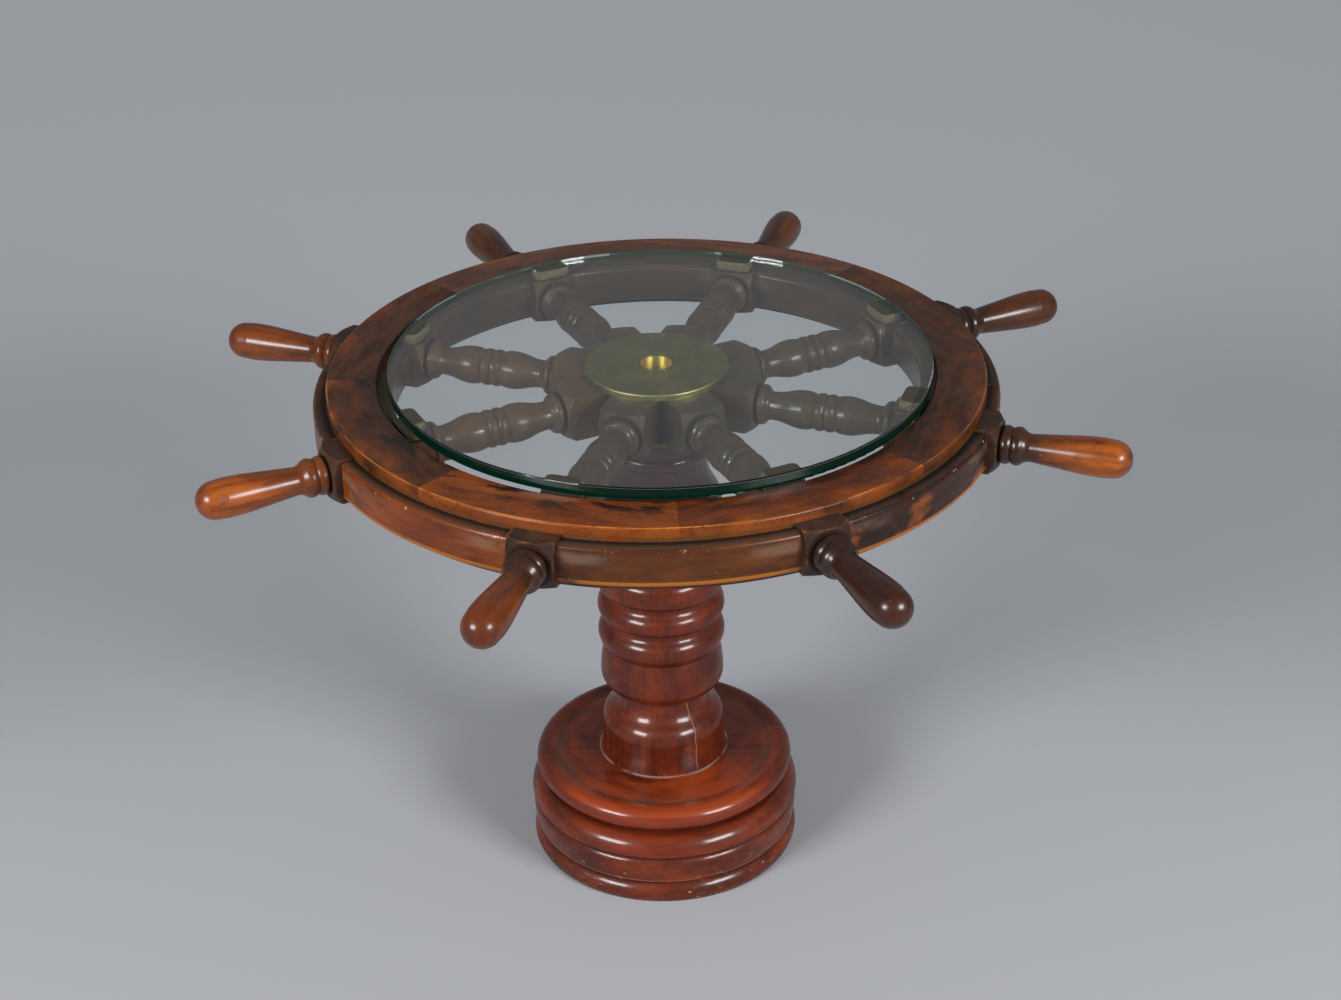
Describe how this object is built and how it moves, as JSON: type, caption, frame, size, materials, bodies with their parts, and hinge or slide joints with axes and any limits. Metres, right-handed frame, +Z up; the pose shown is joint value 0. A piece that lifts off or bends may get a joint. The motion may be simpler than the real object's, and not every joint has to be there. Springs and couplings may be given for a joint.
{
  "type": "ship wheel side table",
  "caption": "Round side table: a wooden ship's wheel with turned spokes and handles laid flat on a turned pedestal, its rim holding a loose glass disc as the top.",
  "frame": {"origin": "on the floor under the middle of the wheel", "axes": "+Z up along the axis of the pedestal and the wheel; the picture's camera stands on the -Y side, and the spokes lie half a pitch either side of X and Y"},
  "size_m": [0.8806, 0.8806, 0.568],
  "materials": {
    "spoke_wood": "varnished, worn",
    "felloe_wood": "varnished, dusty",
    "facing_wood": "varnished, stained",
    "pedestal_wood": "polished",
    "dowel_wood": "bare",
    "pad_felt": "felt",
    "brass": "aged",
    "steel": "zinc plated",
    "table_glass": "clear float glass, ground edge"
  },
  "bodies": {
    "table": {"spoke_1": "spoke_wood", "felloe_1": "felloe_wood", "top_facing_1": "facing_wood", "bottom_facing_1": "facing_wood", "glass_pad_1": "pad_felt", "spoke_2": "spoke_wood", "felloe_2": "felloe_wood", "top_facing_2": "facing_wood", "bottom_facing_2": "facing_wood", "glass_pad_2": "pad_felt", "spoke_3": "spoke_wood", "felloe_3": "felloe_wood", "top_facing_3": "facing_wood", "bottom_facing_3": "facing_wood", "glass_pad_3": "pad_felt", "spoke_4": "spoke_wood", "felloe_4": "felloe_wood", "top_facing_4": "facing_wood", "bottom_facing_4": "facing_wood", "glass_pad_4": "pad_felt", "spoke_5": "spoke_wood", "felloe_5": "felloe_wood", "top_facing_5": "facing_wood", "bottom_facing_5": "facing_wood", "glass_pad_5": "pad_felt", "spoke_6": "spoke_wood", "felloe_6": "felloe_wood", "top_facing_6": "facing_wood", "bottom_facing_6": "facing_wood", "glass_pad_6": "pad_felt", "spoke_7": "spoke_wood", "felloe_7": "felloe_wood", "top_facing_7": "facing_wood", "bottom_facing_7": "facing_wood", "glass_pad_7": "pad_felt", "spoke_8": "spoke_wood", "felloe_8": "felloe_wood", "top_facing_8": "facing_wood", "bottom_facing_8": "facing_wood", "glass_pad_8": "pad_felt", "felloe_dowels": "dowel_wood", "facing_screws": "brass", "flange_screws": "brass", "column_screws": "brass", "hub_flange_top": "brass", "hub_flange_bottom": "brass", "hub_bush": "brass", "column": "pedestal_wood", "base": "pedestal_wood", "base_washer": "steel", "base_bolt": "steel"},
    "glass": {"glass_top": "table_glass"}
  },
  "joints": [
    {"name": "glass_lift", "type": "slide", "parent": "table", "child": "glass", "axis": [0, 0, 1], "range_m": [0, 0.08]}
  ]
}
